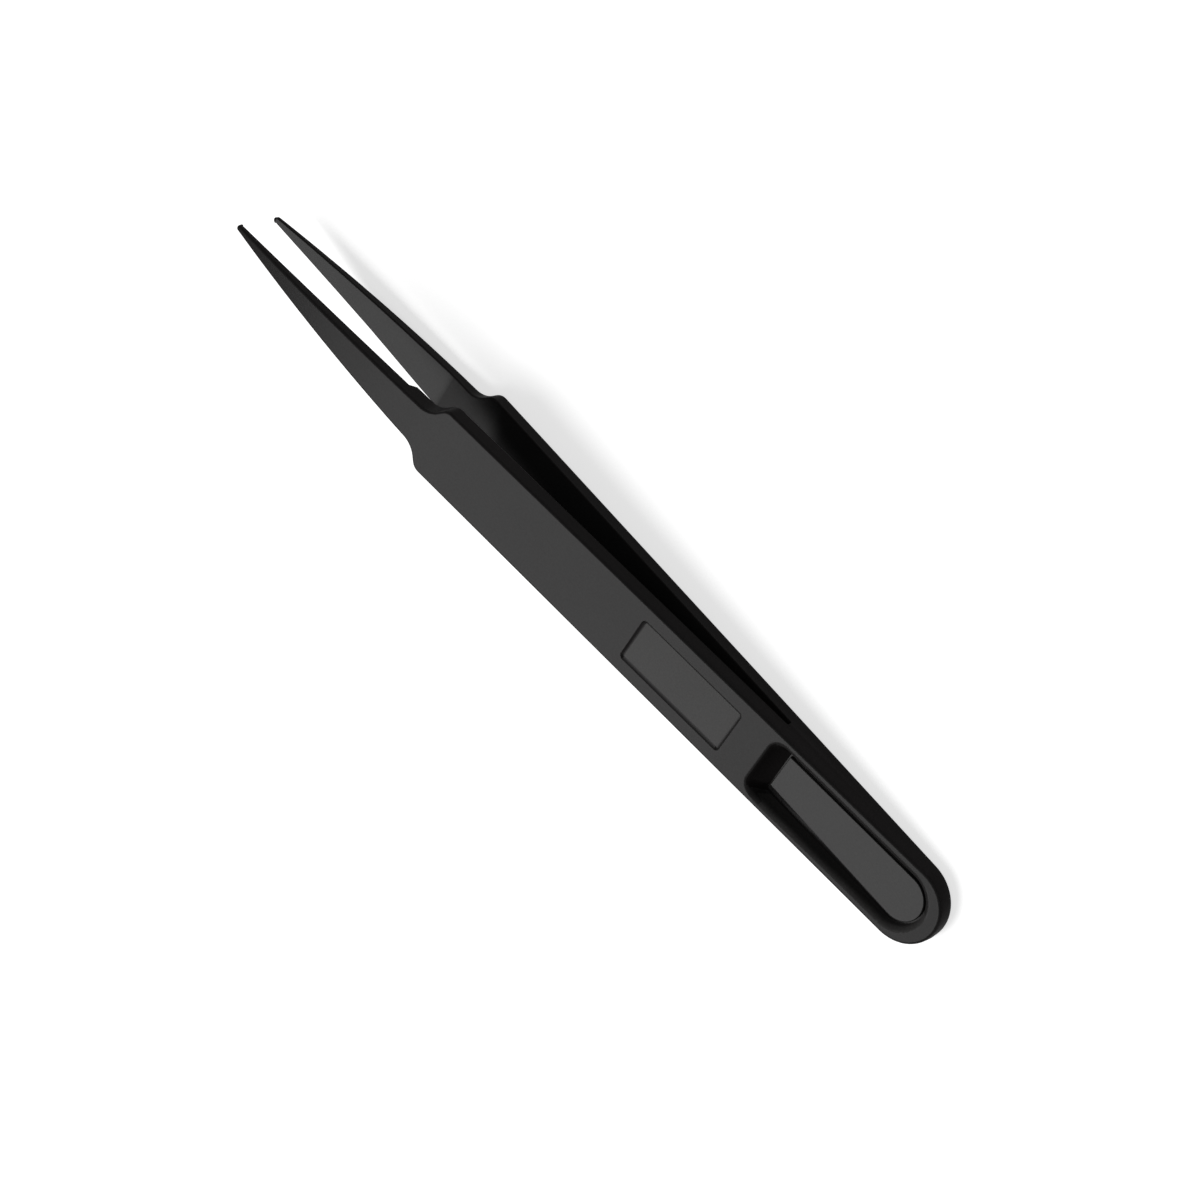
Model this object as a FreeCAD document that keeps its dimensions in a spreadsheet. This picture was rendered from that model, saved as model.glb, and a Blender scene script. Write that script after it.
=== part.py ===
import FreeCAD, Part
import math
import os
import Sketcher
from FreeCAD import Placement, Rotation, Vector

# Anti-static plastic tweezers, moulded in one piece.
# Two flat arms spring from a solid butt block and end in slim pointed jaws.
# The body is drawn about its mid-plane: X runs from the butt to the tips, Y across the arms
# and Z through the thickness. One quarter is shaped and mirrored twice.

os.makedirs("parts", exist_ok=True)
doc = FreeCAD.newDocument("tweezers")

# Driving dimensions in millimetres and degrees.
SIZES = {
    # outline seen from above
    "body_length": 118.2,
    "arm_width": 9.95,
    "shoulder_start": 80.1,
    "shoulder_slope": 50.0,
    "shoulder_outer_radius": 1.9,
    "shoulder_inner_radius": 2.8,
    "jaw_root_width": 5.5,
    "jaw_edge_radius": 1000.0,
    "tip_radius": 0.62,
    "side_draft": 4.0,
    # profile seen from the side
    "butt_thickness": 2.26,
    "arm_angle": 2.88,
    "arm_thickness": 2.1,
    "blend_start": 82.0,
    "blend_radius": 100.0,
    "jaw_back_radius": 280.0,
    "gap_root": 27.5,
    "gap_root_radius": 0.2,
    "throat_start": 79.5,
    "relief_start": 86.7,
    "relief_depth": 0.72,
    "relief_slope": 45.0,
    "relief_flat": 4.6,
    "jaw_face_radius": 500.0,
    "edge_radius": 0.33,
    # cored pocket of the butt block
    "web_thickness": 0.56,
    "pocket_wall": 1.62,
    "pocket_end": 2.45,
    "pocket_front": 25.2,
    "pocket_side_draft": 8.0,
    "pocket_front_draft": 40.0,
    "pocket_front_radius": 0.9,
    "pocket_edge_radius": 0.8,
    # tongue that stands in the pocket
    "moat_width": 0.45,
    "tongue_thickness": 1.3,
    "tongue_end": 2.6,
    "tongue_front": 25.0,
    "tongue_front_width": 4.66,
    "tongue_edge_radius": 0.12,
    # bare number plate sunk in the front arm
    "plate_centre": 39.5,
    "plate_length": 15.8,
    "plate_width": 6.1,
    "plate_depth": 0.4,
    "plate_wall_slope": 42.0,
    "plate_corner_radius": 0.55,
    # room that the cutting shapes leave around the body
    "cut_margin": 2.0,
}

sheet = doc.addObject("Spreadsheet::Sheet", "Sizes")
for row, (name, value) in enumerate(SIZES.items(), start=1):
    sheet.set(f"A{row}", name)
    sheet.set(f"B{row}", str(value))
    sheet.setAlias(f"B{row}", name)
doc.recompute()


def size(name):
    """Value of one sheet cell."""
    return float(sheet.get(name))


body = doc.addObject("PartDesign::Body", "tweezers_body")
body.Label = "tweezers_body"


def origin_plane(role):
    """Origin plane of the body, such as XY_Plane."""
    return next(f for f in body.Origin.OriginFeatures if f.Role == role)


def new_sketch(name, role, height=None):
    """Sketch on an origin plane, raised along its normal by the expression in height."""
    sketch = body.newObject("Sketcher::SketchObject", name)
    sketch.AttachmentSupport = [(origin_plane(role), "")]
    sketch.MapMode = "FlatFace"
    if height:
        sketch.setExpression("AttachmentOffset.Base.z", height)
    return sketch


def line(sketch, start, end):
    """Add a line between two (x, y) points and give its index."""
    return sketch.addGeometry(Part.LineSegment(Vector(*start, 0), Vector(*end, 0)), False)


def arc(sketch, centre, radius, start_angle, end_angle):
    """Add a counter-clockwise arc, with its angles in degrees, and give its index."""
    circle = Part.Circle(Vector(*centre, 0), Vector(0, 0, 1), radius)
    shape = Part.ArcOfCircle(circle, math.radians(start_angle), math.radians(end_angle))
    return sketch.addGeometry(shape, False)


def rule(sketch, kind, *where):
    """Add a geometric constraint."""
    sketch.addConstraint(Sketcher.Constraint(kind, *where))


def measure(sketch, kind, where, expression, guess):
    """Add a dimension whose value follows an expression over the sheet."""
    index = sketch.addConstraint(Sketcher.Constraint(kind, *where, guess))
    sketch.setExpression(f"Constraints[{index}]", expression)


START, END, CENTRE = 1, 2, 3
ORIGIN = (-1, 1)
X_AXIS = -1
BACKWARDS = Vector(0, -1, 0)

# Limits that tell faces apart: the slope of a wall, the slope of an outer face, a flat box
# and how near a wall's foot lies to the floor that it stands on.
WALL_LIMIT = math.sin(math.radians(30))
OUTER_LIMIT = math.cos(math.radians(15))
FLATNESS = 1e-6
FOOT_LIMIT = 0.01

# Most of the tip's own radius that the rounded rim may take.
TIP_SHARE = 0.95


def check(feature):
    """Stop if a feature did not compute."""
    doc.recompute()
    bad = [word for word in feature.State if word in ("Invalid", "Error")]
    if bad or feature.Shape.isNull():
        raise RuntimeError(f"{feature.Name} failed: {feature.State}")
    return feature


def on_mid_plane(face):
    """True for a face that lies on a plane of symmetry of the quarter."""
    box = face.BoundBox
    return max(abs(box.YMax), abs(box.YMin)) < FLATNESS or max(abs(box.ZMax), abs(box.ZMin)) < FLATNESS


def middle_normal(face):
    """Outward direction of a face at the middle of its parameter range."""
    u_low, u_high, v_low, v_high = face.ParameterRange
    return face.normalAt((u_low + u_high) / 2, (v_low + v_high) / 2)


def faces_outward(face):
    """True for the flat, blend and jaw parts of the arm's outer face."""
    return middle_normal(face).z > OUTER_LIMIT


def stands_up(face):
    """True for a wall of the piece, such as its drafted sides."""
    return abs(middle_normal(face).z) < WALL_LIMIT and not on_mid_plane(face)


def edges_between(shape, chosen_face, other_face):
    """Names of the edges where a face that passes one test meets a face that passes the other."""
    names = []
    for number, edge in enumerate(shape.Edges, start=1):
        faces = shape.ancestorsOfType(edge, Part.Face)
        if any(chosen_face(f) for f in faces) and any(other_face(f) for f in faces):
            names.append(f"Edge{number}")
    return names


def round_edges(name, base, edges, radius):
    """Round the named edges of a feature with a radius that follows an expression."""
    fillet = body.newObject("PartDesign::Fillet", name)
    fillet.Base = (base, edges)
    fillet.setExpression("Radius", radius)
    return check(fillet)


def mirrored(name, role):
    """Join the shape so far with its mirror image in an origin plane."""
    copy = body.newObject("PartDesign::Mirrored", name)
    copy.TransformMode = "Whole shape"
    copy.MirrorPlane = (origin_plane(role), [""])
    copy.Refine = True
    body.Tip = copy
    return check(copy)


# Outline of the quarter: round butt, straight side, S-shaped shoulder, slim jaw and round tip.
half_width = size("arm_width") / 2
slope = size("shoulder_slope")
outer_r = size("shoulder_outer_radius")
inner_r = size("shoulder_inner_radius")
jaw_half = size("jaw_root_width") / 2
tip_r = size("tip_radius")
edge_r = size("jaw_edge_radius")
tip_x = size("body_length")
shoulder_x = size("shoulder_start")

sine, cosine = math.sin(math.radians(slope)), math.cos(math.radians(slope))
ramp_top = (shoulder_x + outer_r * sine, half_width - outer_r * (1 - cosine))
ramp_drop = ramp_top[1] - jaw_half - inner_r * (1 - cosine)
ramp_foot = (ramp_top[0] + ramp_drop * cosine / sine, ramp_top[1] - ramp_drop)
inner_centre = (ramp_foot[0] + inner_r * sine, ramp_foot[1] + inner_r * cosine)
jaw_start = (inner_centre[0], jaw_half)
jaw_run = tip_x - tip_r - jaw_start[0]
jaw_lean = math.degrees(math.atan2(jaw_half - tip_r, jaw_run))
jaw_swing = math.degrees(jaw_run / edge_r) / 2
jaw_middle = (jaw_start[0] + jaw_run / 2, (jaw_half + tip_r) / 2)
jaw_centre = (
    jaw_middle[0] - edge_r * math.sin(math.radians(jaw_lean)),
    jaw_middle[1] - edge_r * math.cos(math.radians(jaw_lean)),
)

outline = new_sketch("PlanOutline", "XY_Plane")
butt = arc(outline, (half_width, 0), half_width, 90, 180)
side = line(outline, (half_width, half_width), (shoulder_x, half_width))
corner = arc(outline, (shoulder_x, half_width - outer_r), outer_r, 90 - slope, 90)
ramp = line(outline, ramp_top, ramp_foot)
hollow = arc(outline, inner_centre, inner_r, 270 - slope, 270 - jaw_lean + jaw_swing)
jaw = arc(outline, jaw_centre, edge_r, 90 - jaw_lean - jaw_swing, 90 - jaw_lean + jaw_swing)
tip = arc(outline, (tip_x - tip_r, 0), tip_r, 0, 90 - jaw_lean - jaw_swing)
spine = line(outline, (tip_x, 0), (0, 0))
rule(outline, "Tangent", butt, START, side, START)
rule(outline, "Tangent", side, END, corner, END)
rule(outline, "Tangent", corner, START, ramp, START)
rule(outline, "Tangent", ramp, END, hollow, START)
rule(outline, "Tangent", hollow, END, jaw, END)
rule(outline, "Tangent", jaw, START, tip, END)
rule(outline, "Coincident", tip, START, spine, START)
rule(outline, "Coincident", spine, END, butt, END)
rule(outline, "Coincident", butt, END, *ORIGIN)
rule(outline, "PointOnObject", spine, START, X_AXIS)
rule(outline, "PointOnObject", butt, CENTRE, X_AXIS)
rule(outline, "PointOnObject", tip, CENTRE, X_AXIS)
rule(outline, "Horizontal", side)
measure(outline, "Radius", (butt,), "Sizes.arm_width / 2", half_width)
measure(outline, "Radius", (corner,), "Sizes.shoulder_outer_radius", outer_r)
measure(outline, "Radius", (hollow,), "Sizes.shoulder_inner_radius", inner_r)
measure(outline, "Radius", (jaw,), "Sizes.jaw_edge_radius", edge_r)
measure(outline, "Radius", (tip,), "Sizes.tip_radius", tip_r)
measure(outline, "Angle", (ramp,), "-Sizes.shoulder_slope", math.radians(-slope))
measure(outline, "DistanceX", (*ORIGIN, side, END), "Sizes.shoulder_start", shoulder_x)
measure(outline, "DistanceX", (*ORIGIN, spine, START), "Sizes.body_length", tip_x)
measure(outline, "DistanceY", (*ORIGIN, jaw, END), "Sizes.jaw_root_width / 2", jaw_half)

# Highest point that the side profile can reach, with room above it.
tangent = "tan(Sizes.arm_angle * 1deg)"
blend_height = f"Sizes.butt_thickness / 2 + Sizes.blend_start * {tangent}"
crown = f"{blend_height} + Sizes.cut_margin"
blank = body.newObject("PartDesign::Pad", "Blank")
blank.Profile = outline
blank.setExpression("Length", crown)
check(blank)

# Sides lean in from the mid-plane, so that the piece leaves its mould.
sides = [f"Face{number}" for number, face in enumerate(blank.Shape.Faces, start=1) if stands_up(face)]
draft = body.newObject("PartDesign::Draft", "SideDraft")
draft.Base = (blank, sides)
draft.NeutralPlane = (origin_plane("XY_Plane"), [""])
draft.setExpression("Angle", "Sizes.side_draft")
check(draft)
if draft.Shape.Volume > blank.Shape.Volume:
    draft.Reversed = True
    check(draft)


# Outer face of the arm: flat from the butt to the shoulder, then curving in along the jaw.
margin = size("cut_margin")
lean = math.radians(size("arm_angle"))
rise = math.tan(lean)
skin = size("butt_thickness") / 2
blend_r = size("blend_radius")
back_r = size("jaw_back_radius")
blend_x = size("blend_start")
blend_z = skin + blend_x * rise
crest_x = blend_x + blend_r * math.sin(lean)
crest_z = blend_z + blend_r * (1 - math.cos(lean))
back_end_x = tip_x + margin
back_swing = math.degrees(math.asin((back_end_x - crest_x) / back_r))
back_end = (back_end_x, crest_z - back_r * (1 - math.cos(math.radians(back_swing))))
sky = crest_z + 2 * margin

back = new_sketch("OuterProfile", "XZ_Plane")
flat_back = line(back, (-margin, skin - margin * rise), (blend_x, blend_z))
blend = arc(back, (crest_x, crest_z - blend_r), blend_r, 90, 90 + size("arm_angle"))
jaw_back = arc(back, (crest_x, crest_z - back_r), back_r, 90 - back_swing, 90)
tip_wall = line(back, back_end, (back_end_x, sky))
lid = line(back, (back_end_x, sky), (-margin, sky))
butt_wall = line(back, (-margin, sky), (-margin, skin - margin * rise))
rule(back, "Tangent", flat_back, END, blend, END)
rule(back, "Tangent", blend, START, jaw_back, END)
rule(back, "Coincident", jaw_back, START, tip_wall, START)
rule(back, "Coincident", tip_wall, END, lid, START)
rule(back, "Coincident", lid, END, butt_wall, START)
rule(back, "Coincident", butt_wall, END, flat_back, START)
rule(back, "Vertical", tip_wall)
rule(back, "Horizontal", lid)
rule(back, "Vertical", butt_wall)
rule(back, "Vertical", blend, START, blend, CENTRE)
measure(back, "Angle", (flat_back,), "Sizes.arm_angle", lean)
measure(back, "Radius", (blend,), "Sizes.blend_radius", blend_r)
measure(back, "Radius", (jaw_back,), "Sizes.jaw_back_radius", back_r)
measure(back, "DistanceX", (flat_back, START, *ORIGIN), "Sizes.cut_margin", margin)
measure(
    back, "DistanceY", (*ORIGIN, flat_back, START),
    f"Sizes.butt_thickness / 2 - Sizes.cut_margin * {tangent}", skin - margin * rise,
)
measure(back, "DistanceX", (*ORIGIN, flat_back, END), "Sizes.blend_start", blend_x)
measure(back, "DistanceX", (*ORIGIN, tip_wall, START), "Sizes.body_length + Sizes.cut_margin", back_end_x)
measure(back, "DistanceY", (*ORIGIN, lid, START), f"{crown} + 2 * Sizes.cut_margin", sky)

outer_cut = body.newObject("PartDesign::Pocket", "OuterCut")
outer_cut.Profile = back
outer_cut.Type = "ThroughAll"
outer_cut.Midplane = True
check(outer_cut)

# Gap between the arms: square root, arm face, throat, step and relieved jaw face.
root_x = size("gap_root")
root_r = size("gap_root_radius")
wall = size("arm_thickness") / math.cos(lean)
throat_x = size("throat_start")
relief_x = size("relief_start")
relief = size("relief_depth")
relief_run = relief / math.tan(math.radians(size("relief_slope")))
face_x = relief_x + size("relief_flat")
face_r = size("jaw_face_radius")


def inner_z(x):
    """Height of the arm's inner face above the mid-plane."""
    return skin + x * rise - wall


throat_z = inner_z(throat_x)
jaw_z = throat_z + relief
face_swing = math.degrees(math.asin((back_end_x - face_x) / face_r))
face_end = (back_end_x, jaw_z - face_r * (1 - math.cos(math.radians(face_swing))))
root_bend = math.radians(90 - size("arm_angle"))
root_trim = root_r * math.tan(root_bend / 2)
root_low = (root_x, inner_z(root_x) - root_trim)
root_top = (root_x + root_trim * math.cos(lean), inner_z(root_x) + root_trim * math.sin(lean))

gap = new_sketch("GapProfile", "XZ_Plane")
root_wall = line(gap, (root_x, -margin), root_low)
root_arc = arc(gap, (root_x + root_r, root_low[1]), root_r, 90 + size("arm_angle"), 180)
arm_face = line(gap, root_top, (throat_x, throat_z))
throat = line(gap, (throat_x, throat_z), (relief_x, throat_z))
step = line(gap, (relief_x, throat_z), (relief_x + relief_run, jaw_z))
jaw_flat = line(gap, (relief_x + relief_run, jaw_z), (face_x, jaw_z))
jaw_face = arc(gap, (face_x, jaw_z - face_r), face_r, 90 - face_swing, 90)
gap_wall = line(gap, face_end, (back_end_x, -margin))
gap_floor = line(gap, (back_end_x, -margin), (root_x, -margin))
rule(gap, "Tangent", root_wall, END, root_arc, END)
rule(gap, "Tangent", root_arc, START, arm_face, START)
rule(gap, "Coincident", arm_face, END, throat, START)
rule(gap, "Coincident", throat, END, step, START)
rule(gap, "Coincident", step, END, jaw_flat, START)
rule(gap, "Tangent", jaw_flat, END, jaw_face, END)
rule(gap, "Coincident", jaw_face, START, gap_wall, START)
rule(gap, "Coincident", gap_wall, END, gap_floor, START)
rule(gap, "Coincident", gap_floor, END, root_wall, START)
rule(gap, "Vertical", root_wall)
rule(gap, "Horizontal", throat)
rule(gap, "Horizontal", jaw_flat)
rule(gap, "Vertical", gap_wall)
rule(gap, "Horizontal", gap_floor)
measure(gap, "Radius", (root_arc,), "Sizes.gap_root_radius", root_r)
measure(gap, "Radius", (jaw_face,), "Sizes.jaw_face_radius", face_r)
measure(gap, "Angle", (arm_face,), "Sizes.arm_angle", lean)
measure(gap, "Angle", (step,), "Sizes.relief_slope", math.radians(size("relief_slope")))
measure(gap, "DistanceX", (*ORIGIN, root_wall, START), "Sizes.gap_root", root_x)
measure(gap, "DistanceY", (root_wall, START, *ORIGIN), "Sizes.cut_margin", margin)
measure(gap, "DistanceX", (*ORIGIN, arm_face, END), "Sizes.throat_start", throat_x)
throat_height = (
    f"Sizes.butt_thickness / 2 + Sizes.throat_start * {tangent}"
    " - Sizes.arm_thickness / cos(Sizes.arm_angle * 1deg)"
)
measure(gap, "DistanceY", (*ORIGIN, arm_face, END), throat_height, throat_z)
measure(gap, "DistanceX", (*ORIGIN, throat, END), "Sizes.relief_start", relief_x)
measure(gap, "DistanceY", (step, START, step, END), "Sizes.relief_depth", relief)
measure(gap, "DistanceX", (*ORIGIN, jaw_flat, END), "Sizes.relief_start + Sizes.relief_flat", face_x)
measure(gap, "DistanceX", (*ORIGIN, gap_wall, START), "Sizes.body_length + Sizes.cut_margin", back_end_x)

gap_cut = body.newObject("PartDesign::Pocket", "GapCut")
gap_cut.Profile = gap
gap_cut.Type = "ThroughAll"
gap_cut.Midplane = True
check(gap_cut)

# The other side of the arm, and a rounded rim all the way round its outer face.
# The rim stays inside the tip's own radius, which the draft makes smaller at that height.
arm = mirrored("BothSides", "XZ_Plane")
rim_edges = edges_between(arm.Shape, faces_outward, stands_up)
crest_along = "(Sizes.blend_start + Sizes.blend_radius * sin(Sizes.arm_angle * 1deg))"
crest_height = f"({blend_height} + Sizes.blend_radius * (1 - cos(Sizes.arm_angle * 1deg)))"
back_drop = (
    "(Sizes.jaw_back_radius"
    f" - sqrt(Sizes.jaw_back_radius ^ 2 - (Sizes.body_length - {crest_along}) ^ 2))"
)
tip_room = f"(Sizes.tip_radius - ({crest_height} - {back_drop}) * tan(Sizes.side_draft * 1deg))"
round_edges("OuterRim", arm, rim_edges, f"min(Sizes.edge_radius; {TIP_SHARE} * {tip_room})")

# Cored pocket of the butt block: a round-ended well whose walls open outwards.
# The front wall leans back from the foot of the tongue, so the slot there has hardly any floor.
web = size("web_thickness") / 2
core_half = "(Sizes.arm_width / 2 - Sizes.pocket_wall)"
core_r = half_width - size("pocket_wall")
core_x = size("pocket_end") + core_r
core_front = size("pocket_front")
core_corner = size("pocket_front_radius")
core_reach = "(Sizes.butt_thickness / 2 + 2 * Sizes.cut_margin)"
reach = skin + 2 * margin
side_flare = math.tan(math.radians(size("pocket_side_draft")))
front_flare = math.tan(math.radians(size("pocket_front_draft")))


def well_outline(name, height, spread, side_growth, front_growth):
    """Outline of the well at one height, with its growth over the floor outline."""
    radius = core_r + spread * side_flare
    front = core_front + spread * front_flare
    bend = core_corner + spread * side_flare
    well = new_sketch(name, "XY_Plane", height)
    end = arc(well, (core_x, 0), radius, 90, 270)
    upper = line(well, (core_x, radius), (front - bend, radius))
    upper_bend = arc(well, (front - bend, radius - bend), bend, 0, 90)
    face = line(well, (front, radius - bend), (front, bend - radius))
    lower_bend = arc(well, (front - bend, bend - radius), bend, 270, 360)
    lower = line(well, (front - bend, -radius), (core_x, -radius))
    rule(well, "Tangent", end, START, upper, START)
    rule(well, "Tangent", upper, END, upper_bend, END)
    rule(well, "Tangent", upper_bend, START, face, START)
    rule(well, "Tangent", face, END, lower_bend, END)
    rule(well, "Tangent", lower_bend, START, lower, START)
    rule(well, "Tangent", lower, END, end, END)
    rule(well, "Equal", upper_bend, lower_bend)
    rule(well, "PointOnObject", end, CENTRE, X_AXIS)
    rule(well, "Horizontal", upper)
    rule(well, "Vertical", face)
    measure(well, "Radius", (end,), f"{core_half} + {side_growth}", radius)
    measure(well, "Radius", (upper_bend,), f"Sizes.pocket_front_radius + {side_growth}", bend)
    measure(well, "DistanceX", (*ORIGIN, end, CENTRE), f"Sizes.pocket_end + {core_half}", core_x)
    measure(well, "DistanceX", (*ORIGIN, face, START), f"Sizes.pocket_front + {front_growth}", front)
    return well


well_floor = well_outline("WellFloor", "Sizes.web_thickness / 2", 0, "0", "0")
well_mouth = well_outline(
    "WellMouth", f"Sizes.web_thickness / 2 + {core_reach}", reach,
    f"{core_reach} * tan(Sizes.pocket_side_draft * 1deg)",
    f"{core_reach} * tan(Sizes.pocket_front_draft * 1deg)",
)
well_cut = body.newObject("PartDesign::SubtractiveLoft", "WellCut")
well_cut.Profile = well_floor
well_cut.Sections = [well_mouth]
well_cut.Ruled = True
check(well_cut)


def rims_well(face):
    """True for the outer face around the well, but not for the floor of the well."""
    return faces_outward(face) and face.BoundBox.ZMin > web + FLATNESS


def walls_well(face):
    """True for a wall that rises from the floor of the well."""
    return abs(face.BoundBox.ZMin - web) < FOOT_LIMIT and not faces_outward(face)


lip_edges = edges_between(well_cut.Shape, rims_well, walls_well)
round_edges("WellLip", well_cut, lip_edges, "Sizes.pocket_edge_radius")

# Tongue that stands on the web in the pocket, round at the butt and square at the front.
tongue_half = f"({core_half} - Sizes.moat_width)"
tongue_r = core_r - size("moat_width")
tongue_x = size("tongue_end") + tongue_r
tongue_tip = (size("tongue_front"), size("tongue_front_width") / 2)
tongue_span = math.hypot(tongue_tip[0] - tongue_x, tongue_tip[1])
tongue_aim = math.atan2(tongue_tip[1], tongue_tip[0] - tongue_x)
tongue_turn = math.degrees(tongue_aim + math.acos(tongue_r / tongue_span))
tongue_side = (
    tongue_x + tongue_r * math.cos(math.radians(tongue_turn)),
    tongue_r * math.sin(math.radians(tongue_turn)),
)
plan = new_sketch("TonguePlan", "XY_Plane", "Sizes.web_thickness / 2")
tongue_end = arc(plan, (tongue_x, 0), tongue_r, tongue_turn, 360 - tongue_turn)
tongue_upper = line(plan, tongue_side, tongue_tip)
tongue_face = line(plan, tongue_tip, (tongue_tip[0], -tongue_tip[1]))
tongue_lower = line(plan, (tongue_tip[0], -tongue_tip[1]), (tongue_side[0], -tongue_side[1]))
rule(plan, "Tangent", tongue_end, START, tongue_upper, START)
rule(plan, "Coincident", tongue_upper, END, tongue_face, START)
rule(plan, "Coincident", tongue_face, END, tongue_lower, START)
rule(plan, "Tangent", tongue_lower, END, tongue_end, END)
rule(plan, "PointOnObject", tongue_end, CENTRE, X_AXIS)
rule(plan, "Symmetric", tongue_face, START, tongue_face, END, X_AXIS)
measure(plan, "Radius", (tongue_end,), tongue_half, tongue_r)
measure(plan, "DistanceX", (*ORIGIN, tongue_end, CENTRE), f"Sizes.tongue_end + {tongue_half}", tongue_x)
measure(plan, "DistanceX", (*ORIGIN, tongue_face, START), "Sizes.tongue_front", tongue_tip[0])
measure(plan, "DistanceY", (*ORIGIN, tongue_face, START), "Sizes.tongue_front_width / 2", tongue_tip[1])

tongue = body.newObject("PartDesign::Pad", "Tongue")
tongue.Profile = plan
tongue.setExpression("Length", "(Sizes.tongue_thickness - Sizes.web_thickness) / 2")
check(tongue)


def tongue_top(face):
    """True for the flat top of the tongue."""
    level = size("tongue_thickness") / 2
    return max(abs(face.BoundBox.ZMin - level), abs(face.BoundBox.ZMax - level)) < FLATNESS


tongue_edges = edges_between(tongue.Shape, tongue_top, stands_up)
round_edges("TongueEdge", tongue, tongue_edges, "Sizes.tongue_edge_radius")

# The other arm, with its half of the butt block.
mirrored("BothArms", "XY_Plane")

# Bare number plate: a shallow tray with sloped walls, sunk in the front arm only.
tray = new_sketch("PlateOutline", "XY_Plane", "Sizes.butt_thickness / 2")
tray.AttachmentOffset = Placement(Vector(0, 0, skin), Rotation(BACKWARDS, size("arm_angle")))
tray.setExpression("AttachmentOffset.Rotation.Angle", "Sizes.arm_angle")
plate_r = size("plate_corner_radius")
near_x = size("plate_centre") - size("plate_length") / 2
far_x = near_x + size("plate_length")
plate_half = size("plate_width") / 2
inner_near, inner_far, inner_half = near_x + plate_r, far_x - plate_r, plate_half - plate_r
tray_top = line(tray, (inner_near, plate_half), (inner_far, plate_half))
tray_far = line(tray, (far_x, inner_half), (far_x, -inner_half))
tray_bottom = line(tray, (inner_far, -plate_half), (inner_near, -plate_half))
tray_near = line(tray, (near_x, -inner_half), (near_x, inner_half))
bend_1 = arc(tray, (inner_far, inner_half), plate_r, 0, 90)
bend_2 = arc(tray, (inner_far, -inner_half), plate_r, 270, 360)
bend_3 = arc(tray, (inner_near, -inner_half), plate_r, 180, 270)
bend_4 = arc(tray, (inner_near, inner_half), plate_r, 90, 180)
rule(tray, "Tangent", tray_top, END, bend_1, END)
rule(tray, "Tangent", bend_1, START, tray_far, START)
rule(tray, "Tangent", tray_far, END, bend_2, END)
rule(tray, "Tangent", bend_2, START, tray_bottom, START)
rule(tray, "Tangent", tray_bottom, END, bend_3, END)
rule(tray, "Tangent", bend_3, START, tray_near, START)
rule(tray, "Tangent", tray_near, END, bend_4, END)
rule(tray, "Tangent", bend_4, START, tray_top, START)
rule(tray, "Horizontal", tray_top)
rule(tray, "Vertical", tray_near)
for bend in (bend_2, bend_3, bend_4):
    rule(tray, "Equal", bend_1, bend)
rule(tray, "Symmetric", tray_top, START, tray_bottom, END, X_AXIS)
measure(tray, "Radius", (bend_1,), "Sizes.plate_corner_radius", plate_r)
measure(tray, "DistanceX", (*ORIGIN, tray_near, END), "Sizes.plate_centre - Sizes.plate_length / 2", near_x)
measure(tray, "DistanceX", (*ORIGIN, tray_far, START), "Sizes.plate_centre + Sizes.plate_length / 2", far_x)
measure(tray, "DistanceY", (*ORIGIN, tray_top, START), "Sizes.plate_width / 2", plate_half)

plate = body.newObject("PartDesign::Pocket", "PlateTray")
plate.Profile = tray
plate.setExpression("Length", "Sizes.plate_depth")
plate.setExpression("TaperAngle", "Sizes.plate_wall_slope - 90")
check(plate)

# The tweezers lie on the outer face of the rear arm, with the plate up and the butt towards -X.
body.Tip = plate
body.Placement = Placement(Vector(0, 0, 0), Rotation(BACKWARDS, size("arm_angle")))
body.setExpression("Placement.Rotation.Angle", "Sizes.arm_angle")
body.setExpression("Placement.Base.z", "Sizes.butt_thickness / 2 * cos(Sizes.arm_angle * 1deg)")
doc.recompute()
middle = body.Shape.BoundBox.Center
body.Placement.Base = body.Placement.Base - Vector(middle.x, middle.y, 0)
doc.recompute()

for item in doc.Objects:
    if any(word in item.State for word in ("Invalid", "Error")):
        raise RuntimeError(f"{item.Name} failed: {item.State}")
if body.Shape.isNull() or not body.Shape.isValid() or len(body.Shape.Solids) != 1:
    raise RuntimeError("the body is not one sound solid")

body.Shape.exportStep("parts/tweezers_body.step")
print("volume", round(body.Shape.Volume, 1), "mm3, box", body.Shape.BoundBox)
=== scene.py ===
# %% [markdown]
# # Moulded plastic tweezers
# A pair of black anti-static tweezers for handling chips and wafers, moulded
# in one piece. They lie on their rear arm on a pale floor, and the camera
# looks down on the front arm. The CAD model comes in as a fixed frame, in
# metres, and everything that follows is placed by it: X runs from the butt to
# the tips, Y across the arms and Z up through them.

# %% Load the frame
import math

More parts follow.
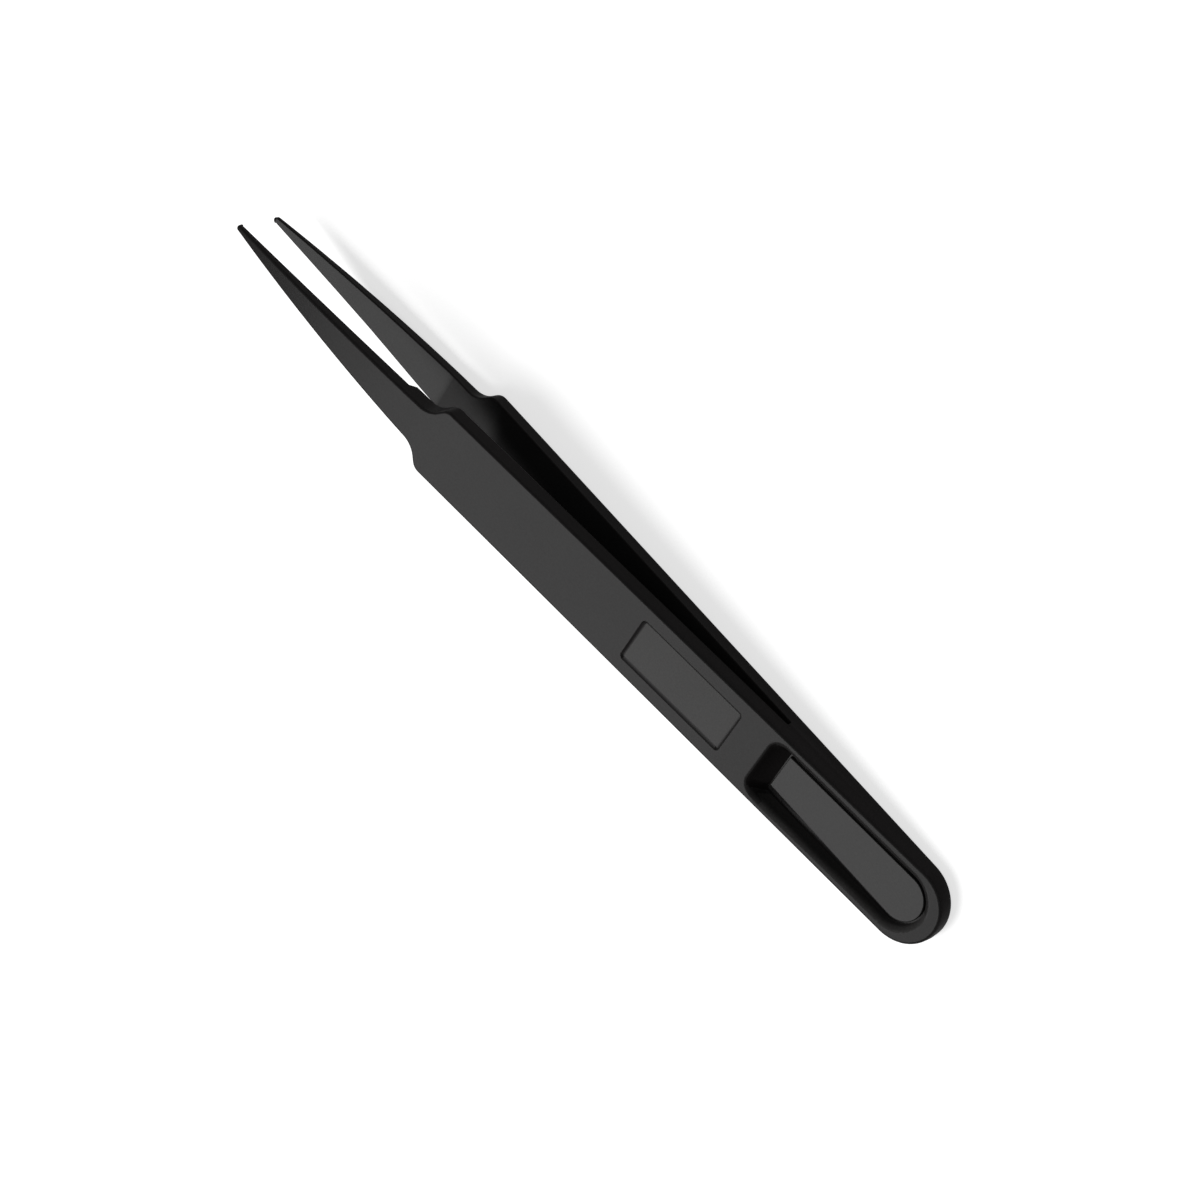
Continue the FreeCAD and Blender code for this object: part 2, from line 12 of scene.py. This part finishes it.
import bmesh
import bpy
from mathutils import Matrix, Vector


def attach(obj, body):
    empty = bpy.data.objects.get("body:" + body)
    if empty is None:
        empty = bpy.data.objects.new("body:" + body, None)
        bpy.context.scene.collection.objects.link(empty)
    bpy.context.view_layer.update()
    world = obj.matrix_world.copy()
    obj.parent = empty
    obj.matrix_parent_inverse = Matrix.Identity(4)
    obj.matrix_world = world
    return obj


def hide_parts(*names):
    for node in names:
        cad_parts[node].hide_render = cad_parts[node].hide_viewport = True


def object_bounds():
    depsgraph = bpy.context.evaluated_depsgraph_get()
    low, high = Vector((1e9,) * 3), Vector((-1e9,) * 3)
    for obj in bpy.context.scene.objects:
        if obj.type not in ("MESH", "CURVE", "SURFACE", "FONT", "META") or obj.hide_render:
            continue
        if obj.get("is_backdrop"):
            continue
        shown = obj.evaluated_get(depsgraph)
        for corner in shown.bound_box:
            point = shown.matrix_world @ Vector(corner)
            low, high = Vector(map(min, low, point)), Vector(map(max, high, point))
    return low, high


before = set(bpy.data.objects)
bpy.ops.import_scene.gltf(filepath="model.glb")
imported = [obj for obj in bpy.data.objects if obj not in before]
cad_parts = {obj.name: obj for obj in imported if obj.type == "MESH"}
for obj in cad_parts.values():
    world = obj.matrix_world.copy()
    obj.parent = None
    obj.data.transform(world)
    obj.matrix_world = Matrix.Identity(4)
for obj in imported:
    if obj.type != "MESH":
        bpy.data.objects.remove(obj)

MM = 0.001

cad_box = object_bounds()
cad_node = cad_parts["tweezers_body"]
for axis, low, high in zip("XYZ", *cad_box):
    print(f"the moulding runs from {low / MM:.2f} to {high / MM:.2f} mm along {axis}")

# %% [markdown]
# ## The moulding
# The real piece comes out of its mould as one body. It could be modelled again
# from simple shapes, but the CAD mesh already has its form, so a copy of that
# is dressed. It arrives as loose triangles. Their shared corners are merged
# and the flat areas are dissolved into whole faces, since a bevel runs cleanly
# along whole faces and badly along slivers.

# %% Merge a copy of the CAD mesh
SAME_PLACE = 1e-7
SAME_PLANE = math.radians(0.05)

work = bmesh.new()
work.from_mesh(cad_node.data)
bmesh.ops.remove_doubles(work, verts=work.verts, dist=SAME_PLACE)
bmesh.ops.dissolve_limit(
    work,
    angle_limit=SAME_PLANE,
    use_dissolve_boundaries=False,
    verts=work.verts,
    edges=work.edges,
)
print(f"the merged moulding has {len(work.verts)} corners and {len(work.faces)} faces")

# %% [markdown]
# ## The root of the lower jaw
# Where the lower arm turns into its jaw, the frame has a small sharp step. In
# the photograph the arm runs down into the jaw, and only a soft crease is left
# there. One could cut the step away and fill the hole. It is simpler to tilt
# the flat face above it: each of its corners goes down in proportion to how
# far along the arm it lies, so that the face stays flat.

# %% Ease the step of the lower jaw
THROAT = (22 * MM, 27 * MM)
LOWER_ARM_TOP = 4 * MM
EASED_HEIGHT = 0.62 * MM
FACING = 0.9


def ends_along(face, axis):
    """Return the lowest and the highest place of the face's corners along an axis."""
    places = [v.co[axis] for v in face.verts]
    return min(places), max(places)


def looks_up_in_throat(face):
    middle = face.calc_center_median()
    in_throat = THROAT[0] < middle.x < THROAT[1] and middle.z < LOWER_ARM_TOP
    return in_throat and face.normal.z > FACING


throat_face = max(filter(looks_up_in_throat, work.faces), key=lambda f: f.calc_area())
start, end = ends_along(throat_face, 0)
for vert in throat_face.verts:
    share = (vert.co.x - start) / (end - start)
    bmesh.ops.translate(work, verts=[vert], vec=(0, 0, -share * EASED_HEIGHT))
work.normal_update()
print(f"the face from {start / MM:.1f} to {end / MM:.1f} mm was tilted")

# %% [markdown]
# The root of that jaw is also a quarter of a millimetre wider on the far side,
# at +Y, than the frame has it, so the light that shows between the jaws ends
# sooner. A smooth swelling does that. It grows from nothing at the shoulder,
# is full at the crease and fades out along the jaw.

# %% Widen the root of the lower jaw
SWELLING = 0.25 * MM
SWELL_FROM, SWELL_FULL, SWELL_TO = 24 * MM, 29 * MM, 44 * MM
SWELL_BESIDE = 1 * MM
SWELL_BELOW = 4.2 * MM


def smooth_step(share):
    share = min(max(share, 0.0), 1.0)
    return share * share * (3 - 2 * share)


for vert in work.verts:
    grown = smooth_step((vert.co.x - SWELL_FROM) / (SWELL_FULL - SWELL_FROM))
    faded = smooth_step((SWELL_TO - vert.co.x) / (SWELL_TO - SWELL_FULL))
    on_jaw = vert.co.y > SWELL_BESIDE and vert.co.z < SWELL_BELOW
    if on_jaw and grown * faded > 0:
        bmesh.ops.translate(work, verts=[vert], vec=(0, SWELLING * grown * faded, 0))
work.normal_update()
print(f"the jaw's root is {SWELLING / MM:.2f} mm wider at {SWELL_FULL / MM:.0f} mm")

# %% [markdown]
# ## Soft inner edges
# No mould has perfectly sharp corners, and the inner edges of the arms and
# jaws look softer in the photograph than the frame makes them. A shader could
# round them, but then their outline stays sharp, so they get a wide bevel.
# Between the butt and the tips they are the only outward edges that are nearly
# square, and they are found by that. The bevel isn't clamped, because Blender
# would narrow all of it to suit the shortest edge. That only works since the
# tiny edges at both ends are left out.

# %% Round the inner edges
INNER_ROUNDING = 0.20 * MM
INNER_SEGMENTS = 4
SQUARE_EDGE = math.radians(60)
GAP_START = -31 * MM
TIPS_START = 57.2 * MM


def bevel_edges(edges, rounding, segments, clamp):
    bmesh.ops.bevel(
        work,
        geom=edges,
        offset=rounding,
        offset_type="OFFSET",
        affect="EDGES",
        segments=segments,
        profile=0.5,
        material=-1,
        clamp_overlap=clamp,
    )
    return len(edges)


def is_sharper(edge, angle):
    return edge.is_manifold and edge.calc_face_angle() > angle


def is_inner(edge):
    near, far = sorted(v.co.x for v in edge.verts)
    between = far > GAP_START and near < TIPS_START
    return between and edge.is_convex and is_sharper(edge, SQUARE_EDGE)


inner_edges = [e for e in work.edges if is_inner(e)]
rounded = bevel_edges(inner_edges, INNER_ROUNDING, INNER_SEGMENTS, False)
print(rounded, "inner edges were rounded")

# %% [markdown]
# ## The sunken plate
# The front arm has a shallow, plain plate. The frame sinks it evenly, but in
# the photograph its wall is deep at the -Y side and hardly shows at the +Y
# side, so the floor lies a little askew. It is tilted in the way that the
# throat was. It also has a finish of its own, and that is kept as a material
# slot on its face: the slots follow the order of the names below.

# %% Tilt the floor of the plate
PLATE = (-29 * MM, -10 * MM)
PLATE_HALF_WIDTH = 3.2 * MM
PLATE_ABOVE = 4 * MM
PLATE_RISE = 0.24 * MM
PLATE_FACING = 0.98
WIDE_FACE = 50 * MM ** 2
BORDER_ANGLE = math.radians(24)
PLASTIC_NAMES = (
    "black_plastic",
    "plate_plastic",
    "tongue_plastic",
    "side_plastic",
    "slot_painted_shade",
    "grip_plastic",
    "pocket_lip_painted_light",
)


def is_on_plate(point):
    inside = PLATE[0] < point.x < PLATE[1] and abs(point.y) < PLATE_HALF_WIDTH
    return inside and point.z > PLATE_ABOVE


def is_plate_floor(face):
    flat = face.normal.z > PLATE_FACING and face.calc_area() > WIDE_FACE
    return flat and is_on_plate(face.calc_center_median())


def is_plate_border(edge):
    on_plate = all(is_on_plate(v.co) for v in edge.verts)
    return on_plate and edge.is_convex and is_sharper(edge, BORDER_ANGLE)


plate_edges = [e for e in work.edges if is_plate_border(e)]
plate_floor = next(f for f in work.faces if is_plate_floor(f))
low, high = ends_along(plate_floor, 1)
for vert in plate_floor.verts:
    share = (vert.co.y - low) / (high - low)
    rise = plate_floor.normal * share * PLATE_RISE
    bmesh.ops.translate(work, verts=[vert], vec=rise)
work.normal_update()
plate_floor.material_index = PLASTIC_NAMES.index("plate_plastic")
print(f"the plate's floor is {plate_floor.calc_area() / MM ** 2:.1f} square mm")

# %% [markdown]
# The outer border of the plate catches a thin line of light. This narrow bevel
# is clamped, so that it can't overlap itself at the plate's round corners.
# What it squeezes to nothing there is then dissolved.

# %% Round the border of the plate
BORDER_ROUNDING = 0.07 * MM
BORDER_SEGMENTS = 2

rounded = bevel_edges(plate_edges, BORDER_ROUNDING, BORDER_SEGMENTS, True)
bmesh.ops.dissolve_degenerate(work, dist=SAME_PLACE, edges=work.edges)
print(rounded, "edges of the border were rounded")
print(f"the moulding now has {len(work.faces)} faces")

# %% [markdown]
# ## Areas with a finish or a painted tone of their own
# The tongue in the butt and the inner faces of the jaws look a little lighter
# than the arm. The drafted sides, the leaning wall of the slot and the far lip
# of the pocket are dull. The wall of the slot is also painted darker, as painted
# shade in that deep recess, and the far lip is painted paler, as painted light
# in the shaded pocket. The areas could be painted on a map, but they have clean
# borders, so each face is found by its place and by how steep it is, which the
# parts of its normal tell: 1 is straight along an axis and 0 is across it.

# %% Tell the areas apart
BUTT_CENTRE = -54 * MM
BUTT_FRONT = -32 * MM
SLOT_FOOT = -35 * MM
SLOT_HALF_WIDTH = 4 * MM
OUTLINE_RADIUS = 4.2 * MM
FAR_LIP_FROM = -1 * MM
SHOULDER = 21 * MM
JAW_START = 27.5 * MM
JAW_GAP_MIDDLE = 6 * MM
LEVEL = 0.998
LEANING = 0.5
UPRIGHT = 0.3
LIP_SLOPES = (0.05, 0.995)


def out_of_butt(point):
    """Return the way to a point from the middle line of the butt, in plan."""
    return Vector((min(0.0, point.x - BUTT_CENTRE), point.y))


def is_tongue(face):
    flat = abs(face.normal.z) > LEVEL and face.calc_area() > WIDE_FACE
    return flat and face.calc_center_median().x < BUTT_FRONT


def is_slot_wall(face):
    middle = face.calc_center_median()
    leans_back = face.normal.x < -LEANING and abs(middle.y) < SLOT_HALF_WIDTH
    return leans_back and SLOT_FOOT < middle.x < BUTT_FRONT


def is_gripping(face):
    middle = face.calc_center_median()
    looks_inward = face.normal.z * (JAW_GAP_MIDDLE - middle.z) > 0
    return abs(face.normal.z) > FACING and looks_inward and middle.x > JAW_START


def is_side(face):
    middle = face.calc_center_median()
    on_outline = middle.x > SHOULDER or out_of_butt(middle).length > OUTLINE_RADIUS
    return abs(face.normal.z) < UPRIGHT and on_outline


def is_far_lip(face):
    middle = face.calc_center_median()
    outward = out_of_butt(middle)
    in_pocket = middle.x < SLOT_FOOT and outward.length < OUTLINE_RADIUS
    slopes_inward = (
        LIP_SLOPES[0] < face.normal.z < LIP_SLOPES[1]
        and face.normal.xy.dot(outward) < 0
    )
    return in_pocket and slopes_inward and middle.y > FAR_LIP_FROM


# %% Give each area its slot
AREAS = {
    "tongue_plastic": is_tongue,
    "side_plastic": is_side,
    "slot_painted_shade": is_slot_wall,
    "grip_plastic": is_gripping,
    "pocket_lip_painted_light": is_far_lip,
}
for name, belongs in AREAS.items():
    area_faces = [f for f in work.faces if belongs(f)]
    for face in area_faces:
        face.material_index = PLASTIC_NAMES.index(name)
    size = sum(f.calc_area() for f in area_faces) / MM ** 2
    print(f"{name}: {len(area_faces)} faces, {size:.1f} square mm")

# %% [markdown]
# ## The moulding's own object
# The dressed copy could be put back into the CAD node, but the frame stays as
# it came. The copy becomes an object of its own, which rides on the one rigid
# body and is shown in place of the node.

# %% Make the moulding's own object
for face in work.faces:
    face.smooth = True
moulding_mesh = bpy.data.meshes.new("tweezers_moulding")
work.to_mesh(moulding_mesh)
work.free()
moulding = bpy.data.objects.new("tweezers_moulding", moulding_mesh)
bpy.context.scene.collection.objects.link(moulding)
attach(moulding, "root")
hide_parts("tweezers_body")
print("the moulding has", len(moulding_mesh.polygons), "faces")

# %% [markdown]
# Smooth shading blends the light over a wide flat face and its narrow
# rounding alike, which makes the flat face look dished. Marking the borders of
# the roundings as sharp would stop that, but then they show as lines. Weighted
# normals let the large face decide, so it stays flat up to its rounded edge.

# %% Weight the normals
weighting = moulding.modifiers.new("weighted_normals", "WEIGHTED_NORMAL")
weighting.mode = "FACE_AREA"
weighting.weight = 100
weighting.keep_sharp = False
print("the normals are weighted by", weighting.mode)

# %% [markdown]
# ## Grain of the mould
# The steel of such a mould usually has a fine, even pitting, about a quarter
# of a millimetre across, which the plastic takes from it. Under it lies a slow
# unevenness, in patches of some eight millimetres. A picture of the grain
# would need a map without seams, while noise on the object's own coordinates
# has none. All seven finishes need it, so it is one node group. It puts out a
# height for a Bump node, a small change of shade and a change of roughness.

# %% Helpers for node groups
def add_node(tree, kind, **settings):
    node = tree.nodes.new(kind)
    for name, value in settings.items():
        setattr(node, name, value)
    return node


def new_group(name, inputs, outputs):
    group = bpy.data.node_groups.new(name, "ShaderNodeTree")
    for label, kind, default in inputs:
        socket = group.interface.new_socket(label, in_out="INPUT", socket_type=kind)
        socket.default_value = default
    for label, kind in outputs:
        group.interface.new_socket(label, in_out="OUTPUT", socket_type=kind)
    return group, add_node(group, "NodeGroupInput"), add_node(group, "NodeGroupOutput")


# %% Start the grain group
FLOAT = "NodeSocketFloat"
VECTOR = "NodeSocketVector"
GRAIN_SCALE = 4200.0
SLOW_SCALE = 130.0

grain, grain_in, grain_out = new_group(
    "mould_grain",
    [
        ("Position", VECTOR, (0, 0, 0)),
        ("Grain scale", FLOAT, GRAIN_SCALE),
        ("Slow scale", FLOAT, SLOW_SCALE),
    ],
    [("Height", FLOAT), ("Shade", FLOAT), ("Roughness change", FLOAT)],
)
links = grain.links
print("the grain group takes", ", ".join(s.name for s in grain_in.outputs if s.name))

# %% Fill the grain group
NOISE_SPREAD = (0.3, 0.7)
SLOW_SHADE = 0.10
PIT_SHADE = 0.18
SLOW_ROUGHNESS = 0.02


def noise(scale_name, detail, roughness):
    """Return a noise at the group's position, with its scale from a group input."""
    node = add_node(grain, "ShaderNodeTexNoise")
    node.inputs["Detail"].default_value = detail
    node.inputs["Roughness"].default_value = roughness
    links.new(grain_in.outputs["Position"], node.inputs["Vector"])
    links.new(grain_in.outputs[scale_name], node.inputs["Scale"])
    return node.outputs["Fac"]


def spread_around(middle, reach, value):
    """Return the noise stretched to middle - reach and middle + reach."""
    node = add_node(grain, "ShaderNodeMapRange")
    node.inputs["From Min"].default_value = NOISE_SPREAD[0]
    node.inputs["From Max"].default_value = NOISE_SPREAD[1]
    node.inputs["To Min"].default_value = middle - reach
    node.inputs["To Max"].default_value = middle + reach
    links.new(value, node.inputs["Value"])
    return node.outputs["Result"]


pits = noise("Grain scale", detail=3.0, roughness=0.6)
slow = noise("Slow scale", detail=4.0, roughness=0.55)
both_shades = add_node(grain, "ShaderNodeMath", operation="MULTIPLY")
links.new(spread_around(1, SLOW_SHADE, slow), both_shades.inputs[0])
links.new(spread_around(1, PIT_SHADE, pits), both_shades.inputs[1])
links.new(pits, grain_out.inputs["Height"])
links.new(both_shades.outputs["Value"], grain_out.inputs["Shade"])
links.new(spread_around(0, SLOW_ROUGHNESS, slow), grain_out.inputs["Roughness change"])
print("the grain group has", len(grain.nodes), "nodes")

# %% [markdown]
# ## Black plastic
# Carbon in the plastic makes it conduct, and also makes it almost black. Its
# own colour is very dark, and the grey that one sees on the wide faces is a
# broad, weak sheen of the lamp. A paler colour would give the same grey, but
# on the sides too. So the shader gets a dark base, a low specular level and a
# middling roughness, and the faces turned from the lamp go nearly black.

# %% Material builder
PLASTIC_IOR = 1.5
BUMP_STRENGTH = 0.6
plastics = {}


def plastic(name, base, roughness, specular, grain_depth, grain_scale=GRAIN_SCALE):
    """Make one material of the black plastic, keep it by its name and print it."""
    material = bpy.data.materials.new(name)
    material.use_nodes = True
    tree = material.node_tree
    shader = tree.nodes["Principled BSDF"]
    shader.inputs["Specular IOR Level"].default_value = specular
    shader.inputs["IOR"].default_value = PLASTIC_IOR
    place = add_node(tree, "ShaderNodeTexCoord")
    surface = add_node(tree, "ShaderNodeGroup", node_tree=grain)
    surface.inputs["Grain scale"].default_value = grain_scale
    tint = add_node(tree, "ShaderNodeMix", data_type="RGBA", blend_type="MULTIPLY")
    tint.inputs["Factor"].default_value = 1.0
    tint.inputs["A"].default_value = (*base, 1.0)
    rough = add_node(tree, "ShaderNodeMath", operation="ADD")
    rough.inputs[0].default_value = roughness
    bump = add_node(tree, "ShaderNodeBump")
    bump.inputs["Strength"].default_value = BUMP_STRENGTH
    bump.inputs["Distance"].default_value = grain_depth
    tree.links.new(place.outputs["Object"], surface.inputs["Position"])
    tree.links.new(surface.outputs["Shade"], tint.inputs["B"])
    tree.links.new(tint.outputs["Result"], shader.inputs["Base Color"])
    tree.links.new(surface.outputs["Roughness change"], rough.inputs[1])
    tree.links.new(rough.outputs["Value"], shader.inputs["Roughness"])
    tree.links.new(surface.outputs["Height"], bump.inputs["Height"])
    tree.links.new(bump.outputs["Normal"], shader.inputs["Normal"])
    plastics[name] = material
    print(f"{name}: roughness {roughness}, specular level {specular}")


# %% [markdown]
# The wide outer faces of the arms are the plainest finish, and most of the
# moulding has it. The floor of the plate is a little paler and a little finer.

# %% The arms and the plate
plastic(
    "black_plastic",
    base=(0.0108, 0.0102, 0.0102),
    roughness=0.30,
    specular=0.048,
    grain_depth=0.004 * MM,
)
plastic(
    "plate_plastic",
    base=(0.0165, 0.0158, 0.0154),
    roughness=0.32,
    specular=0.068,
    grain_depth=0.005 * MM,
    grain_scale=5200.0,
)

# %% [markdown]
# The tongue and the inner faces of the jaws look smoother and a little lighter
# than the arms. They get a finer grain, a slightly stronger sheen and a
# slightly paler base.

# %% The tongue and the gripping faces
plastic(
    "tongue_plastic",
    base=(0.0130, 0.0126, 0.0124),
    roughness=0.29,
    specular=0.064,
    grain_depth=0.004 * MM,
    grain_scale=4800.0,
)
plastic(
    "grip_plastic",
    base=(0.0125, 0.0121, 0.0120),
    roughness=0.30,
    specular=0.060,
    grain_depth=0.004 * MM,
    grain_scale=4800.0,
)

# %% [markdown]
# The drafted sides, the slot's wall and the far lip of the pocket hardly shine
# at all. They are rougher, with a lower specular level. The slot's wall also has
# the darkest base, as painted shade in the deep slot, and the far lip the palest,
# as painted light in the shaded pocket.

# %% The dull areas
DULL_GRAIN_SCALE = 3800.0

plastic(
    "side_plastic",
    base=(0.0105, 0.0094, 0.0095),
    roughness=0.48,
    specular=0.020,
    grain_depth=0.005 * MM,
    grain_scale=DULL_GRAIN_SCALE,
)
# Painted shade: the slot's wall gets a darker base than the arms, for the deep shadow in
# the slot.
plastic(
    "slot_painted_shade",
    base=(0.0050, 0.0045, 0.0045),
    roughness=0.50,
    specular=0.012,
    grain_depth=0.005 * MM,
    grain_scale=DULL_GRAIN_SCALE,
)
# Painted light: a paler base on the far lip of the pocket stands in for light reaching into
# the shaded pocket.
plastic(
    "pocket_lip_painted_light",
    base=(0.0210, 0.0203, 0.0200),
    roughness=0.45,
    specular=0.018,
    grain_depth=0.005 * MM,
    grain_scale=DULL_GRAIN_SCALE,
)

# %% [markdown]
# The finishes go to the moulding in the order of the slots. They are taken by
# the names given here and not from Blender's list of materials, because the
# frame already has a black plastic there.

# %% Hand the finishes to the moulding
for name in PLASTIC_NAMES:
    moulding_mesh.materials.append(plastics[name])
print("the moulding has", len(moulding_mesh.materials), "plastics")

# %% [markdown]
# ## Floor and background
# The photograph has a plain white ground. A floor that is only painted white
# comes out a little uneven, because the lamp is nearer to one side of it, and
# more light would spoil the tweezers. So about half of the white is paint,
# which keeps a soft shadow, and half is a glow that only the camera and
# mirrored rays see, so that it throws no light on the tweezers.

# %% Helper for a glow that lights nothing
def looking_ray(tree):
    """Return a socket that is 1 where the camera looks, directly or in a mirror."""
    ray = add_node(tree, "ShaderNodeLightPath")
    seen = add_node(tree, "ShaderNodeMath", operation="MAXIMUM")
    seen_at_all = add_node(tree, "ShaderNodeMath", operation="MAXIMUM")
    tree.links.new(ray.outputs["Is Camera Ray"], seen.inputs[0])
    tree.links.new(ray.outputs["Is Glossy Ray"], seen.inputs[1])
    tree.links.new(seen.outputs["Value"], seen_at_all.inputs[0])
    tree.links.new(ray.outputs["Is Transmission Ray"], seen_at_all.inputs[1])
    return seen_at_all.outputs["Value"]


# %% Lay the floor
FLOOR_HALF = 3.0

floor_work = bmesh.new()
bmesh.ops.create_grid(floor_work, x_segments=1, y_segments=1, size=FLOOR_HALF)
floor_mesh = bpy.data.meshes.new("floor")
floor_work.to_mesh(floor_mesh)
floor_work.free()
floor = bpy.data.objects.new("floor", floor_mesh)
bpy.context.scene.collection.objects.link(floor)
floor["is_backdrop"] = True
print("the floor is", 2 * FLOOR_HALF, "m wide")

# %% Paint the floor
WHITE = (1.0, 1.0, 1.0, 1.0)
FLOOR_COLOUR = (0.50, 0.50, 0.50, 1.0)
FLOOR_GLOW = 0.66

floor_paint = bpy.data.materials.new("floor_paint")
floor_paint.use_nodes = True
floor_tree = floor_paint.node_tree
floor_shader = floor_tree.nodes["Principled BSDF"]
floor_shader.inputs["Base Color"].default_value = FLOOR_COLOUR
floor_shader.inputs["Roughness"].default_value = 1.0
floor_shader.inputs["Specular IOR Level"].default_value = 0.0
floor_shader.inputs["Emission Color"].default_value = WHITE
glow = add_node(floor_tree, "ShaderNodeMath", operation="MULTIPLY")
glow.inputs[1].default_value = FLOOR_GLOW
floor_tree.links.new(looking_ray(floor_tree), glow.inputs[0])
floor_tree.links.new(glow.outputs["Value"], floor_shader.inputs["Emission Strength"])
floor_mesh.materials.append(floor_paint)
print("the floor glows with a strength of", FLOOR_GLOW)

# %% [markdown]
# ## Light
# One large soft lamp stands behind the tweezers, where a ray from the camera
# bounces to off their wide faces. That is what makes those faces grey while
# the sides stay nearly black. Two lamps would light more evenly, but they
# would also light the sides. The front jaw curves away from the lamp, so it
# goes darker towards its tip.

# %% Lamp
LAMP_DIRECTION = (0.195, 0.540, 0.819)
LAMP_DISTANCE = 1.2
LAMP_SIZE = 0.79
LAMP_POWER = 15.8

lamp = bpy.data.lights.new("key_lamp", "AREA")
lamp.shape = "DISK"
lamp.size = LAMP_SIZE
lamp.energy = LAMP_POWER
lamp_stand = bpy.data.objects.new("key_lamp", lamp)
aim = Vector(LAMP_DIRECTION).normalized()
lamp_stand.location = aim * LAMP_DISTANCE
lamp_stand.rotation_euler = aim.to_track_quat("Z", "Y").to_euler()
bpy.context.scene.collection.objects.link(lamp_stand)
print("the lamp is", round(lamp_stand.location.z, 2), "m above the floor")

# %% [markdown]
# A weak, even light from all round fills the shadows, as the walls of a white
# room would. The world gives it without any wall that the tweezers mirror.

# %% World
AMBIENT = 0.30

world = bpy.data.worlds.new("studio")
world.use_nodes = True
bpy.context.scene.world = world
sky = world.node_tree.nodes["Background"]
sky.inputs["Color"].default_value = WHITE
sky.inputs["Strength"].default_value = AMBIENT
print("the world's light has a strength of", AMBIENT)

# %% [markdown]
# ## Camera
# The camera could be placed by eye, but then no edge falls where it should.
# Its place was solved from the tweezers' outline in the photograph. It looks
# down from the -Y side and the butt end, about 49 degrees above the floor,
# and it is rolled so that the tips point to the upper left.

# %% Camera
CAMERA_PLACE = (-0.1301, -0.20409, 0.28197)
CAMERA_TURN = (-14.473, 38.734, -143.725)
CAMERA_LENS = 96.876
SENSOR_WIDTH = 36.0
NEAREST_SEEN = 0.01

camera_data = bpy.data.cameras.new("camera")
camera_data.sensor_width = SENSOR_WIDTH
camera_data.lens = CAMERA_LENS
camera_data.clip_start = NEAREST_SEEN
camera = bpy.data.objects.new("camera", camera_data)
camera.location = CAMERA_PLACE
camera.rotation_euler = [math.radians(angle) for angle in CAMERA_TURN]
bpy.context.scene.collection.objects.link(camera)
bpy.context.scene.camera = camera
bpy.context.scene.view_settings.view_transform = "Standard"
print("the camera is", round(camera.location.length, 3), "m from the tweezers' middle")

# %% [markdown]
# ## Size
# Both boxes, of the CAD model and of the finished model, are printed, so that
# their sizes can be compared.

# %% Print the finished model's size
bpy.context.view_layer.update()
visual_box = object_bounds()
for axis, low, high in zip("XYZ", *visual_box):
    print(f"the finished model runs from {low / MM:.2f} to {high / MM:.2f} mm along {axis}")
